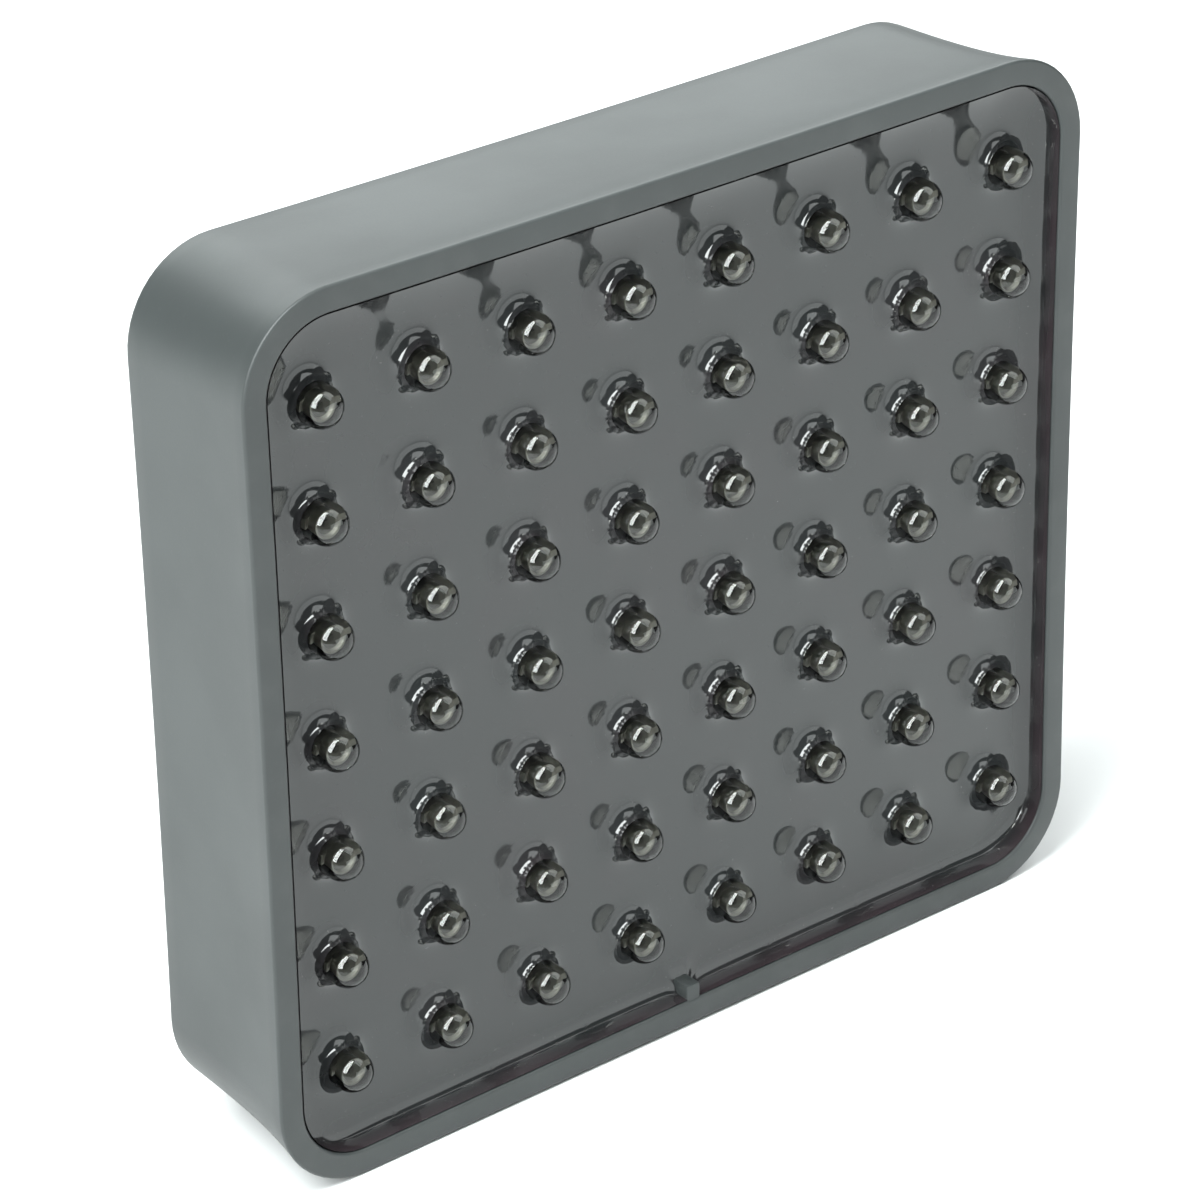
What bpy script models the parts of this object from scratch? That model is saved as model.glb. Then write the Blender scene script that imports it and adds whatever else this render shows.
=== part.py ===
"""Potted LED lamp module: a moulded tray of clear round LEDs set in dark potting resin.

The module stands upright on its bottom wall. X runs along the LED rows, Y runs from the
open front (negative) to the back wall, Z is up. The origin is the bottom centre of the
whole module. Every size is in metres.
"""
import math

import bmesh
import bpy
from mathutils import Matrix, Vector

# LED field
LED_COLUMNS = 8
LED_ROWS = 7
LED_PITCH_X = 0.0145
LED_PITCH_Z = 0.0140

# One 5 mm round LED
LED_DIAMETER = 0.0050
LED_HEIGHT = 0.0087
FLANGE_LIP = 0.0004
FLANGE_THICKNESS = 0.0010
LED_SIDES = 12
DOME_RINGS = 2
LEAD_SPACING = 0.00254
LEAD_WIDTH = 0.0005
LEAD_ROOT = 0.0004

# Case
CASE_WIDTH = 0.1231
CASE_HEIGHT = 0.1122
CASE_DEPTH = 0.0247
CORNER_RADIUS = 0.0118
BACK_INSET = 0.0014
FLARE_DEPTH = 0.0060
FLARE_INSET = 0.0008
SIDE_BOW = 0.00025
RIM_WIDTH = 0.0033
INNER_INSET = 0.0006
BACK_WALL = 0.0030
EDGE_ROUND = 0.0005

# Locating rib in the middle of the bottom wall, inside
RIB_WIDTH = 0.0021
RIB_REACH = 0.0020
RIB_SETBACK = 0.0002

# Posts that carry the board
POST_DIAMETER = 0.0060
SPIGOT_DIAMETER = 0.0030

# Circuit board
BOARD_THICKNESS = 0.0016
BOARD_EDGE_GAP = 0.0006
BOARD_CORNER = 0.0100
RESISTOR_SIZE = (0.0032, 0.0006, 0.0016)
RESISTOR_COLUMN = 2

# Depths behind the rim plane
LED_TIP_PROUD = 0.00175
RESIN_DEPTH = 0.0038

# Cable grommet in the back wall
CABLE_BORE = 0.0036
GROMMET_NECK = 0.0070
GROMMET_FLANGE = 0.0100
GROMMET_POCKET = 0.0014
GROMMET_INNER_FLANGE = 0.0014
GROMMET_HEIGHT = 0.0220
GROMMET_LEAD_IN = 0.0004

# Clearances and finish of curves
GAP = 0.0003
ARC_STEPS = 6
SIDE_STEPS = 4
ROUND_SIDES = 16
OVERLAP = 0.0005
EDGE_SEGMENTS = 2
EDGE_ANGLE = 50.0
SMOOTH_ANGLE = 40.0
LED_SMOOTH_ANGLE = 50.0

# Worked out from the sizes above
FLANGE_DIAMETER = LED_DIAMETER + 2 * FLANGE_LIP
RIM_Y = (LED_TIP_PROUD - CASE_DEPTH) / 2
BACK_Y = RIM_Y + CASE_DEPTH
INNER_BACK_Y = BACK_Y - BACK_WALL
RESIN_Y = RIM_Y + RESIN_DEPTH
TIP_Y = RIM_Y - LED_TIP_PROUD
LED_SEAT_Y = TIP_Y + LED_HEIGHT
BOARD_FRONT_Y = LED_SEAT_Y + GAP
BOARD_BACK_Y = BOARD_FRONT_Y + BOARD_THICKNESS
CENTRE_Z = CASE_HEIGHT / 2
INNER_HALF_X = CASE_WIDTH / 2 - RIM_WIDTH
INNER_HALF_Z = CASE_HEIGHT / 2 - RIM_WIDTH
INNER_RADIUS = CORNER_RADIUS - RIM_WIDTH
BOARD_HALF_X = INNER_HALF_X - INNER_INSET - SIDE_BOW - BOARD_EDGE_GAP
BOARD_HALF_Z = INNER_HALF_Z - INNER_INSET - SIDE_BOW - BOARD_EDGE_GAP


def clear_scene():
    for obj in list(bpy.data.objects):
        bpy.data.objects.remove(obj, do_unlink=True)


def new_collection(name):
    collection = bpy.data.collections.new(name)
    bpy.context.scene.collection.children.link(collection)
    return collection


def material(name, colour, roughness, metallic=0.0):
    mat = bpy.data.materials.new(name)
    mat.use_nodes = True
    shader = mat.node_tree.nodes["Principled BSDF"]
    shader.inputs["Base Color"].default_value = (*colour, 1.0)
    shader.inputs["Roughness"].default_value = roughness
    shader.inputs["Metallic"].default_value = metallic
    mat.diffuse_color = (*colour, 1.0)
    return mat


def add_object(name, mesh, collection, mat=None):
    obj = bpy.data.objects.new(name, mesh)
    collection.objects.link(obj)
    if mat:
        mesh.materials.append(mat)
    return obj


def mesh_from(bm, name):
    bmesh.ops.recalc_face_normals(bm, faces=bm.faces)
    mesh = bpy.data.meshes.new(name)
    bm.to_mesh(mesh)
    bm.free()
    return mesh


def smooth(mesh, angle=SMOOTH_ANGLE):
    mesh.shade_smooth()
    mesh.set_sharp_from_angle(angle=math.radians(angle))


def outline(half_x, half_z, radius, bow=0.0):
    """Points round a rounded rectangle whose sides dip in by bow at their middles."""
    points = []
    corners = ((1, 1), (-1, 1), (-1, -1), (1, -1))
    for index, (sx, sz) in enumerate(corners):
        start = index * math.pi / 2
        centre_x = sx * (half_x - radius)
        centre_z = sz * (half_z - radius)
        for step in range(ARC_STEPS + 1):
            angle = start + math.pi / 2 * step / ARC_STEPS
            x = centre_x + radius * math.cos(angle)
            z = centre_z + radius * math.sin(angle)
            points.append((x, z))
        next_x, next_z = corners[(index + 1) % 4]
        end = (index + 1) * math.pi / 2
        from_x, from_z = points[-1]
        to_x = next_x * (half_x - radius) + radius * math.cos(end)
        to_z = next_z * (half_z - radius) + radius * math.sin(end)
        for step in range(1, SIDE_STEPS):
            t = step / SIDE_STEPS
            dip = bow * (1 - (2 * t - 1) ** 2)
            x = from_x + (to_x - from_x) * t - dip * math.cos(end)
            z = from_z + (to_z - from_z) * t - dip * math.sin(end)
            points.append((x, z))
    return points


def loft(sections, name):
    """A closed body through sections, each a depth Y and an outline about the centre."""
    bm = bmesh.new()
    rings = []
    for y, points in sections:
        rings.append([bm.verts.new((x, y, CENTRE_Z + z)) for x, z in points])
    count = len(rings[0])
    for near, far in zip(rings, rings[1:]):
        for i in range(count):
            j = (i + 1) % count
            bm.faces.new((near[i], near[j], far[j], far[i]))
    bm.faces.new(rings[0])
    bm.faces.new(rings[-1])
    return mesh_from(bm, name)


def cylinder_mesh(name, radius, y_start, y_end, x=0.0, z=0.0, sides=ROUND_SIDES):
    """A cylinder along Y."""
    bm = bmesh.new()
    turn = Matrix.Rotation(math.pi / 2, 4, "X")
    place = Matrix.Translation(Vector((x, (y_start + y_end) / 2, z)))
    bmesh.ops.create_cone(
        bm,
        cap_ends=True,
        segments=sides,
        radius1=radius,
        radius2=radius,
        depth=y_end - y_start,
        matrix=place @ turn,
    )
    return mesh_from(bm, name)


def box_mesh(name, low, high):
    bm = bmesh.new()
    size = [high[i] - low[i] for i in range(3)]
    middle = [(high[i] + low[i]) / 2 for i in range(3)]
    place = Matrix.Translation(Vector(middle)) @ Matrix.Diagonal((*size, 1.0))
    bmesh.ops.create_cube(bm, size=1.0, matrix=place)
    return mesh_from(bm, name)


def merged(name, meshes):
    """One mesh that holds several separate closed shapes, for use as a cutter."""
    bm = bmesh.new()
    for mesh in meshes:
        bm.from_mesh(mesh)
        bpy.data.meshes.remove(mesh)
    return mesh_from(bm, name)


def cutter(name, mesh):
    obj = add_object(name, mesh, cutters)
    obj.hide_render = True
    obj.display_type = "WIRE"
    return obj


def boolean(obj, other, operation="DIFFERENCE"):
    mod = obj.modifiers.new(f"{operation.lower()} {other.name}", "BOOLEAN")
    mod.operation = operation
    mod.object = other
    mod.solver = "EXACT"


def bevel(obj):
    mod = obj.modifiers.new("edge round", "BEVEL")
    mod.width = EDGE_ROUND
    mod.segments = EDGE_SEGMENTS
    mod.limit_method = "ANGLE"
    mod.angle_limit = math.radians(EDGE_ANGLE)


def led_places():
    """Row, column and centre of each LED, from the top left."""
    for row in range(LED_ROWS):
        for column in range(LED_COLUMNS):
            x = (column - (LED_COLUMNS - 1) / 2) * LED_PITCH_X
            z = CENTRE_Z + ((LED_ROWS - 1) / 2 - row) * LED_PITCH_Z
            yield row + 1, column + 1, x, z


def post_places():
    """Four posts, each midway between the four LEDs of a corner."""
    for sx in (-1, 1):
        for sz in (-1, 1):
            x = sx * (LED_COLUMNS / 2 - 1) * LED_PITCH_X
            z = CENTRE_Z + sz * (LED_ROWS / 2 - 1) * LED_PITCH_Z
            yield x, z


def outer_sections():
    half_x = CASE_WIDTH / 2
    half_z = CASE_HEIGHT / 2
    steps = ((RIM_Y, 0.0), (RIM_Y + FLARE_DEPTH, FLARE_INSET), (BACK_Y, BACK_INSET))
    for y, inset in steps:
        yield y, outline(half_x - inset, half_z - inset, CORNER_RADIUS, SIDE_BOW)


def inner_section(y, grow=0.0):
    """Outline of the tray's inside at depth y, moved outward by grow."""
    inset = INNER_INSET * (y - RIM_Y) / (INNER_BACK_Y - RIM_Y)
    half_x = INNER_HALF_X - inset + grow
    half_z = INNER_HALF_Z - inset + grow
    return y, outline(half_x, half_z, INNER_RADIUS + grow, SIDE_BOW)


def make_case():
    mesh = loft(list(outer_sections()), "case")
    case = add_object("case", mesh, parts, plastic)
    bevel(case)

    front = RIM_Y - 2 * EDGE_ROUND
    cavity = loft([inner_section(front), inner_section(INNER_BACK_Y)], "tray_cavity")
    boolean(case, cutter("tray_cavity", cavity))

    rib_low = CENTRE_Z - INNER_HALF_Z - OVERLAP
    rib_top = CENTRE_Z - INNER_HALF_Z + SIDE_BOW + RIB_REACH
    rib = box_mesh(
        "rib",
        (-RIB_WIDTH / 2, RIM_Y + RIB_SETBACK, rib_low),
        (RIB_WIDTH / 2, INNER_BACK_Y + OVERLAP, rib_top),
    )
    boolean(case, cutter("bottom_rib", rib), "UNION")

    posts = []
    for x, z in post_places():
        start = BOARD_BACK_Y + GAP
        end = INNER_BACK_Y + OVERLAP
        posts.append(cylinder_mesh("post", POST_DIAMETER / 2, start, end, x, z))
    boolean(case, cutter("board_posts", merged("board_posts", posts)), "UNION")

    spigots = []
    for x, z in post_places():
        start = BOARD_FRONT_Y + GAP
        end = BOARD_BACK_Y + GAP + OVERLAP
        spigots.append(cylinder_mesh("spigot", SPIGOT_DIAMETER / 2, start, end, x, z))
    boolean(case, cutter("board_spigots", merged("board_spigots", spigots)), "UNION")

    pocket = BACK_Y - GROMMET_POCKET - GAP
    boolean(case, cutter("grommet_bore", cylinder_mesh(
        "grommet_bore", GROMMET_NECK / 2 + GAP,
        INNER_BACK_Y - 2 * OVERLAP, BACK_Y + 2 * OVERLAP, 0.0, GROMMET_HEIGHT)))
    boolean(case, cutter("grommet_recess", cylinder_mesh(
        "grommet_recess", GROMMET_FLANGE / 2 + GAP,
        pocket, BACK_Y + 2 * OVERLAP, 0.0, GROMMET_HEIGHT)))
    smooth(mesh)


def rib_notch(name, y_start, y_end):
    """Space round the rib, for the pieces that pass it."""
    low = CENTRE_Z - INNER_HALF_Z - OVERLAP
    top = CENTRE_Z - INNER_HALF_Z + SIDE_BOW + RIB_REACH + GAP
    half = RIB_WIDTH / 2 + GAP
    return cutter(name, box_mesh(name, (-half, y_start, low), (half, y_end, top)))


def resistor_boxes(grow):
    """One current-limiting chip resistor for each LED row, on the board's back."""
    length, height, width = RESISTOR_SIZE
    x = RESISTOR_COLUMN * LED_PITCH_X
    boxes = []
    for row in range(LED_ROWS):
        z = CENTRE_Z + ((LED_ROWS - 1) / 2 - row) * LED_PITCH_Z
        low = (x - length / 2 - grow, BOARD_BACK_Y - OVERLAP, z - width / 2 - grow)
        high = (x + length / 2 + grow, BOARD_BACK_Y + height + grow, z + width / 2 + grow)
        boxes.append(box_mesh("resistor", low, high))
    return boxes


def make_board():
    section = outline(BOARD_HALF_X, BOARD_HALF_Z, BOARD_CORNER)
    mesh = loft([(BOARD_FRONT_Y, section), (BOARD_BACK_Y, section)], "circuit_board")
    board = add_object("circuit_board", mesh, parts, laminate)

    resistors = merged("chip_resistors", resistor_boxes(0.0))
    boolean(board, cutter("chip_resistors", resistors), "UNION")

    half = LEAD_WIDTH / 2 + GAP
    low_y = BOARD_FRONT_Y - OVERLAP
    high_y = BOARD_BACK_Y + OVERLAP
    holes = []
    for _, _, x, z in led_places():
        for side in (-1, 1):
            lead_x = x + side * LEAD_SPACING / 2
            low = (lead_x - half, low_y, z - half)
            high = (lead_x + half, high_y, z + half)
            holes.append(box_mesh("hole", low, high))
    boolean(board, cutter("lead_holes", merged("lead_holes", holes)))

    spigot_holes = []
    for x, z in post_places():
        radius = SPIGOT_DIAMETER / 2 + GAP
        spigot_holes.append(cylinder_mesh("hole", radius, low_y, high_y, x, z))
    boolean(board, cutter("spigot_holes", merged("spigot_holes", spigot_holes)))
    boolean(board, rib_notch("board_rib_notch", low_y, high_y))


def make_resin():
    back = INNER_BACK_Y - GAP
    sections = [inner_section(RESIN_Y, -GAP), inner_section(back, -GAP)]
    mesh = loft(sections, "potting_resin")
    resin = add_object("potting_resin", mesh, parts, resin_mat)

    pocket = outline(BOARD_HALF_X + GAP, BOARD_HALF_Z + GAP, BOARD_CORNER + GAP)
    pocket_mesh = loft([(BOARD_FRONT_Y - GAP, pocket), (BOARD_BACK_Y + GAP, pocket)], "board_pocket")
    boolean(resin, cutter("board_pocket", pocket_mesh))

    seats = []
    for _, _, x, z in led_places():
        radius = (FLANGE_DIAMETER / 2 + GAP) / math.cos(math.pi / LED_SIDES)
        start = RESIN_Y - OVERLAP
        end = BOARD_FRONT_Y
        seats.append(cylinder_mesh("seat", radius, start, end, x, z, LED_SIDES))
    boolean(resin, cutter("led_seats", merged("led_seats", seats)))

    resistor_pockets = merged("resistor_pockets", resistor_boxes(GAP))
    boolean(resin, cutter("resistor_pockets", resistor_pockets))

    post_holes = []
    for x, z in post_places():
        radius = POST_DIAMETER / 2 + GAP
        post_holes.append(cylinder_mesh("hole", radius, BOARD_BACK_Y, back + OVERLAP, x, z))
    boolean(resin, cutter("post_holes", merged("post_holes", post_holes)))
    boolean(resin, rib_notch("resin_rib_notch", RESIN_Y - OVERLAP, back + OVERLAP))

    flange_y = INNER_BACK_Y - GAP - GROMMET_INNER_FLANGE - GAP
    grommet_space = cylinder_mesh(
        "grommet_space", GROMMET_FLANGE / 2 + GAP, flange_y, back + OVERLAP, 0.0, GROMMET_HEIGHT)
    boolean(resin, cutter("grommet_space", grommet_space))


def led_profile():
    """Radius and distance forward of the seat, from the flange's back edge to the dome."""
    radius = LED_DIAMETER / 2
    flange = FLANGE_DIAMETER / 2
    points = [(flange, 0.0), (flange, FLANGE_THICKNESS), (radius, FLANGE_THICKNESS)]
    dome_start = LED_HEIGHT - radius
    for ring in range(DOME_RINGS):
        angle = math.pi / 2 * ring / DOME_RINGS
        points.append((radius * math.cos(angle), dome_start + radius * math.sin(angle)))
    return points


def led_mesh():
    """One LED about its own seat centre, with its lens forward (-Y) and its leads back."""
    bm = bmesh.new()
    rings = []
    for radius, forward in led_profile():
        ring = []
        for side in range(LED_SIDES):
            angle = 2 * math.pi * (side + 0.5) / LED_SIDES
            x = radius * math.cos(angle)
            z = radius * math.sin(angle)
            ring.append(bm.verts.new((x, -forward, z)))
        rings.append(ring)
    tip = bm.verts.new((0.0, -LED_HEIGHT, 0.0))
    for near, far in zip(rings, rings[1:]):
        for i in range(LED_SIDES):
            j = (i + 1) % LED_SIDES
            bm.faces.new((near[i], near[j], far[j], far[i]))
    for i in range(LED_SIDES):
        bm.faces.new((rings[-1][i], rings[-1][(i + 1) % LED_SIDES], tip))
    bm.faces.new(rings[0])
    body = add_object("led_body", mesh_from(bm, "led_body"), cutters)

    half = LEAD_WIDTH / 2
    leads = []
    for side in (-1, 1):
        x = side * LEAD_SPACING / 2
        low = (x - half, -LEAD_ROOT, -half)
        high = (x + half, GAP + BOARD_THICKNESS, half)
        leads.append(box_mesh("lead", low, high))
    boolean(body, cutter("led_leads", merged("led_leads", leads)), "UNION")

    depsgraph = bpy.context.evaluated_depsgraph_get()
    mesh = bpy.data.meshes.new_from_object(body.evaluated_get(depsgraph))
    mesh.name = "round_led"
    bpy.data.objects.remove(body, do_unlink=True)
    mesh.materials.clear()
    mesh.materials.append(clear_epoxy)
    smooth(mesh, LED_SMOOTH_ANGLE)
    return mesh


def make_leds():
    mesh = led_mesh()
    for row, column, x, z in led_places():
        led = bpy.data.objects.new(f"led_r{row}_c{column}", mesh)
        parts.objects.link(led)
        led.location = (x, LED_SEAT_Y, z)


def make_grommet():
    """A turned rubber grommet that grips the back wall, bored for the supply cable."""
    inner = INNER_BACK_Y - GAP
    web = BACK_Y - GROMMET_POCKET
    neck = GROMMET_NECK / 2
    flange = GROMMET_FLANGE / 2
    bore = CABLE_BORE / 2
    tip = inner - GROMMET_INNER_FLANGE
    chamfer = GROMMET_LEAD_IN
    profile = [
        (bore, BACK_Y - chamfer),
        (bore + chamfer, BACK_Y),
        (flange, BACK_Y),
        (flange, web),
        (neck, web),
        (neck, inner),
        (flange, inner),
        (flange - chamfer, tip),
        (bore, tip),
    ]
    bm = bmesh.new()
    rings = []
    for side in range(ROUND_SIDES):
        angle = 2 * math.pi * side / ROUND_SIDES
        ring = []
        for radius, y in profile:
            x = radius * math.cos(angle)
            z = GROMMET_HEIGHT + radius * math.sin(angle)
            ring.append(bm.verts.new((x, y, z)))
        rings.append(ring)
    count = len(profile)
    for index, ring in enumerate(rings):
        following = rings[(index + 1) % ROUND_SIDES]
        for i in range(count):
            j = (i + 1) % count
            bm.faces.new((ring[i], ring[j], following[j], following[i]))
    mesh = mesh_from(bm, "cable_grommet")
    smooth(mesh)
    add_object("cable_grommet", mesh, parts, rubber)


clear_scene()
parts = new_collection("potted_led_module")
cutters = new_collection("cutters")
plastic = material("grey_moulded_plastic", (0.22, 0.24, 0.23), 0.45)
laminate = material("board_laminate", (0.03, 0.16, 0.07), 0.5)
resin_mat = material("dark_potting_resin", (0.045, 0.038, 0.038), 0.08)
clear_epoxy = material("clear_epoxy_lens", (0.75, 0.76, 0.70), 0.05)
rubber = material("black_rubber", (0.02, 0.02, 0.02), 0.7)

make_case()
make_board()
make_resin()
make_leds()
make_grommet()
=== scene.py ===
"""Surfaces, lamps and light for the potted LED lamp module.

A moulded tray holds fifty-six clear round LEDs, set in dark resin that has crept up round
each lens and up the tray's inner walls. X runs along the rows, Y from the open front
(negative) to the back wall, Z is up. Every size is in metres.
"""

import math

import bmesh
import bpy
from mathutils import Matrix, Vector, noise


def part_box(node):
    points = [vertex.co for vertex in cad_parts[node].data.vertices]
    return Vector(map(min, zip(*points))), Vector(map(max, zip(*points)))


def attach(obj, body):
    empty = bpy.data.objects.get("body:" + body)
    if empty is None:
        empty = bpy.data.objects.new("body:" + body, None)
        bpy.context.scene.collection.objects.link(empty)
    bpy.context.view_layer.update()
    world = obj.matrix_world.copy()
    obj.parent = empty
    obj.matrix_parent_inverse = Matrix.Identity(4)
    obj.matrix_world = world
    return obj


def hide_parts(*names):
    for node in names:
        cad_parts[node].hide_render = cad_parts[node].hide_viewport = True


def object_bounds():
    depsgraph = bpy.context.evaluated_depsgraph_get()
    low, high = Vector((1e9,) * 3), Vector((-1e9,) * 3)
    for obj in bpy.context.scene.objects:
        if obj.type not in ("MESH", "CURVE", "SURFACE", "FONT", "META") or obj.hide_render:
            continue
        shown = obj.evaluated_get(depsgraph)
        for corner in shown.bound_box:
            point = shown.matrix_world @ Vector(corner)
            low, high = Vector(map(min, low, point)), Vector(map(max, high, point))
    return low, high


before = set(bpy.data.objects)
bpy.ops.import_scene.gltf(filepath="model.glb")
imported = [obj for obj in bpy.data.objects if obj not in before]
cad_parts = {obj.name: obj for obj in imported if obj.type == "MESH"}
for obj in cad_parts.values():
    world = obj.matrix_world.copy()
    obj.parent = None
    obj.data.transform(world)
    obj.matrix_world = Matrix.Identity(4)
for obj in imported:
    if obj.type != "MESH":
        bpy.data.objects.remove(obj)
CAD_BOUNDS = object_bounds()

bl_info = {
    "name": "Potted LED Module",
    "version": (1, 0, 0),
    "blender": (4, 5, 0),
    "location": "View3D > Sidebar > LED Module",
    "description": "Builds the tray, resin, lenses and lead frames of a potted LED module",
    "category": "Object",
}

# Places read from the frame
CASE_LOW, CASE_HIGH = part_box("case")
RESIN_LOW, RESIN_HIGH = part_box("potting_resin")
GROMMET_LOW, GROMMET_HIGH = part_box("cable_grommet")
LED_NODES = sorted(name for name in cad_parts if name.startswith("led_"))
LED_LOW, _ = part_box(LED_NODES[0])

RIM_Y = CASE_LOW.y
BACK_Y = CASE_HIGH.y
CENTRE_Z = (CASE_LOW.z + CASE_HIGH.z) / 2
HALF_X = (CASE_HIGH.x - CASE_LOW.x) / 2
HALF_Z = (CASE_HIGH.z - CASE_LOW.z) / 2
RESIN_Y = RESIN_LOW.y
TIP_Y = LED_LOW.y
INNER_BACK_Y = RESIN_HIGH.y
GROMMET_CENTRE = (GROMMET_LOW + GROMMET_HIGH) / 2
LED_CENTRES = {name: sum(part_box(name), Vector()) / 2 for name in LED_NODES}
COLUMNS = sorted({round(c.x, 5) for c in LED_CENTRES.values()})
ROWS = sorted({round(c.z, 5) for c in LED_CENTRES.values()})

MILLIMETRE = 0.001
SMOOTH_ANGLE = math.radians(38)
RESIN_SMOOTH_ANGLE = math.radians(80)
POINT_RADIUS = 1e-7
LENS_SEGMENTS = 48
GROMMET_SEGMENTS = 64

# Fixed colours
DUST_COLOUR = (0.30, 0.29, 0.28)
MASK_COLOURS = ((0.012, 0.085, 0.035), (0.020, 0.130, 0.055))
RUBBER_COLOURS = ((0.016, 0.016, 0.017), (0.055, 0.054, 0.052))
SKY_COLOUR = (0.97, 0.99, 1.0, 1.0)
SKY_STRENGTH = 0.12
LIGHT_COLOUR = (0.945, 1.0, 0.995)

# Name, place, aim, width and height, and power of each light
LIGHTS = (
    ("key", (-0.90, -0.22, 1.15), (0.0, -0.05, 0.0), (0.66, 2.2), 78.0),
    ("front", (0.60, -2.00, 0.45), (0.0, 0.0, 0.05), (3.0, 0.9), 18.0),
    ("overhead", (0.50, -0.50, 1.30), (0.0, -0.05, 0.0), (1.0, 1.0), 9.0),
    ("backdrop", (1.00, 1.50, 1.20), (0.0, 0.0, 0.1), (3.0, 0.9), 46.0),
)
FLOOR_REACH = 4.0


# Settings

def length(name, description, default):
    return bpy.props.FloatProperty(
        name=name, description=description, default=default,
        min=0.0, precision=5, unit="LENGTH", subtype="DISTANCE")


def colour(name, description, default):
    return bpy.props.FloatVectorProperty(
        name=name, description=description, default=default,
        size=3, min=0.0, max=1.0, subtype="COLOR")


class TraySettings(bpy.types.PropertyGroup):
    """Sizes and colours of the moulded tray"""
    corner: length("Corner Radius", "Outer corner radius", 0.0118)
    rim: length("Rim Width", "Width of the front rim", 0.0033)
    flare: length("Flare", "How far the sides draw in from the rim to the back", 0.0016)
    flare_depth: length("Flare Depth", "Depth in which most of the flare happens", 0.0100)
    bow: length("Side Bow", "Dip of each side at its middle", 0.00025)
    edge: length("Edge Round", "Radius of the rim's edges", 0.0005)
    back_edge: length("Back Edge Round", "Radius of the back's edges", 0.0009)
    inner_draft: length("Inner Draft", "How far the inner walls draw in by the floor", 0.0006)
    wall_back: length("Back Wall", "Thickness of the back wall", 0.0030)
    rib_width: length("Rib Width", "Width of the rib in the bottom wall", 0.0021)
    rib_reach: length("Rib Reach", "Height of the rib above the bottom wall", 0.0020)
    rib_setback: length("Rib Setback", "Depth of the rib's front behind the rim", 0.0002)
    plastic: colour("Plastic", "Grey of the moulding", (0.034, 0.039, 0.039))
    plastic_dark: colour("Plastic Shade", "Darker flow marks", (0.030, 0.034, 0.034))
    worn: colour("Worn Edge", "Rubbed plastic on the rim", (0.048, 0.052, 0.051))


class ResinSettings(bpy.types.PropertyGroup):
    """Shape and colours of the cured potting resin"""
    lens_climb: length("Lens Climb", "How far the resin climbs each lens", 0.0019)
    lens_spread: length("Lens Spread", "Reach of the creep round a lens", 0.00075)
    wall_climb: length("Wall Climb", "How far the resin bulk climbs the walls", 0.0026)
    wall_spread: length("Wall Spread", "Reach of the creep along the walls", 0.0029)
    film: length("Film", "Thickness of the film on the walls", 0.00012)
    film_gap: length("Film Gap", "Depth of the film's edge behind the rim", 0.00030)
    body: colour("Resin", "Body colour of the resin", (0.019, 0.021, 0.0215))
    thin: colour("Thin Resin", "Colour where the resin is thin", (0.029, 0.0215, 0.0245))


class LampSettings(bpy.types.PropertyGroup):
    """Sizes and colours of one round LED"""
    diameter: length("Lens Diameter", "Diameter of the lens", 0.0050)
    flange: length("Flange Diameter", "Diameter of the flange", 0.0058)
    flange_thick: length("Flange Thickness", "Thickness of the flange", 0.0010)
    height: length("Lens Height", "Height from the seat to the tip", 0.0087)
    cup: length("Cup Diameter", "Outer diameter of the reflector cup", 0.0023)
    cup_height: length("Cup Height", "Height of the cup's lip above the seat", 0.0062)
    spacing: length("Lead Spacing", "Distance between the leads", 0.00254)
    epoxy: colour("Epoxy", "Tint of the clear epoxy", (0.93, 0.93, 0.88))
    silver: colour("Silver", "Plating of the lead frame", (0.105, 0.103, 0.091))
    chip: colour("Chip", "Colour of the chip", (0.012, 0.012, 0.009))
    gel: colour("Gel", "Gel that fills the cup", (0.034, 0.034, 0.029))


class StageSettings(bpy.types.PropertyGroup):
    """Camera and lights"""
    aim: bpy.props.FloatVectorProperty(
        name="Aim", description="Point the camera looks at", size=3,
        default=(-0.0060, -0.00192, 0.05641), unit="LENGTH", subtype="TRANSLATION")
    distance: length("Distance", "From the camera to its aim", 0.574)
    turn: bpy.props.FloatProperty(
        name="Turn", description="Camera's bearing, from straight in front",
        default=math.radians(38.71), unit="ROTATION", subtype="ANGLE")
    rise: bpy.props.FloatProperty(
        name="Rise", description="Camera's height angle",
        default=math.radians(27.07), unit="ROTATION", subtype="ANGLE")
    roll: bpy.props.FloatProperty(
        name="Roll", description="Camera's roll",
        default=math.radians(-1.06), unit="ROTATION", subtype="ANGLE")
    lens: bpy.props.FloatProperty(
        name="Focal Length", description="Camera's focal length", default=146.9, unit="CAMERA")
    floor: colour("Floor", "Pale floor", (0.72, 0.72, 0.72))


# Materials

class Wire:
    """A node's output, on which Python's arithmetic adds Math nodes."""

    def __init__(self, finish, socket):
        self.finish = finish
        self.socket = socket

    def _math(self, operation, first, second=0.0):
        return self.finish.node(
            "ShaderNodeMath", {"operation": operation}, {0: first, 1: second})

    def __add__(self, other):
        return self._math("ADD", self, other)

    def __sub__(self, other):
        return self._math("SUBTRACT", self, other)

    def __rsub__(self, other):
        return self._math("SUBTRACT", other, self)

    def __mul__(self, other):
        return self._math("MULTIPLY", self, other)

    __radd__ = __add__
    __rmul__ = __mul__


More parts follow.
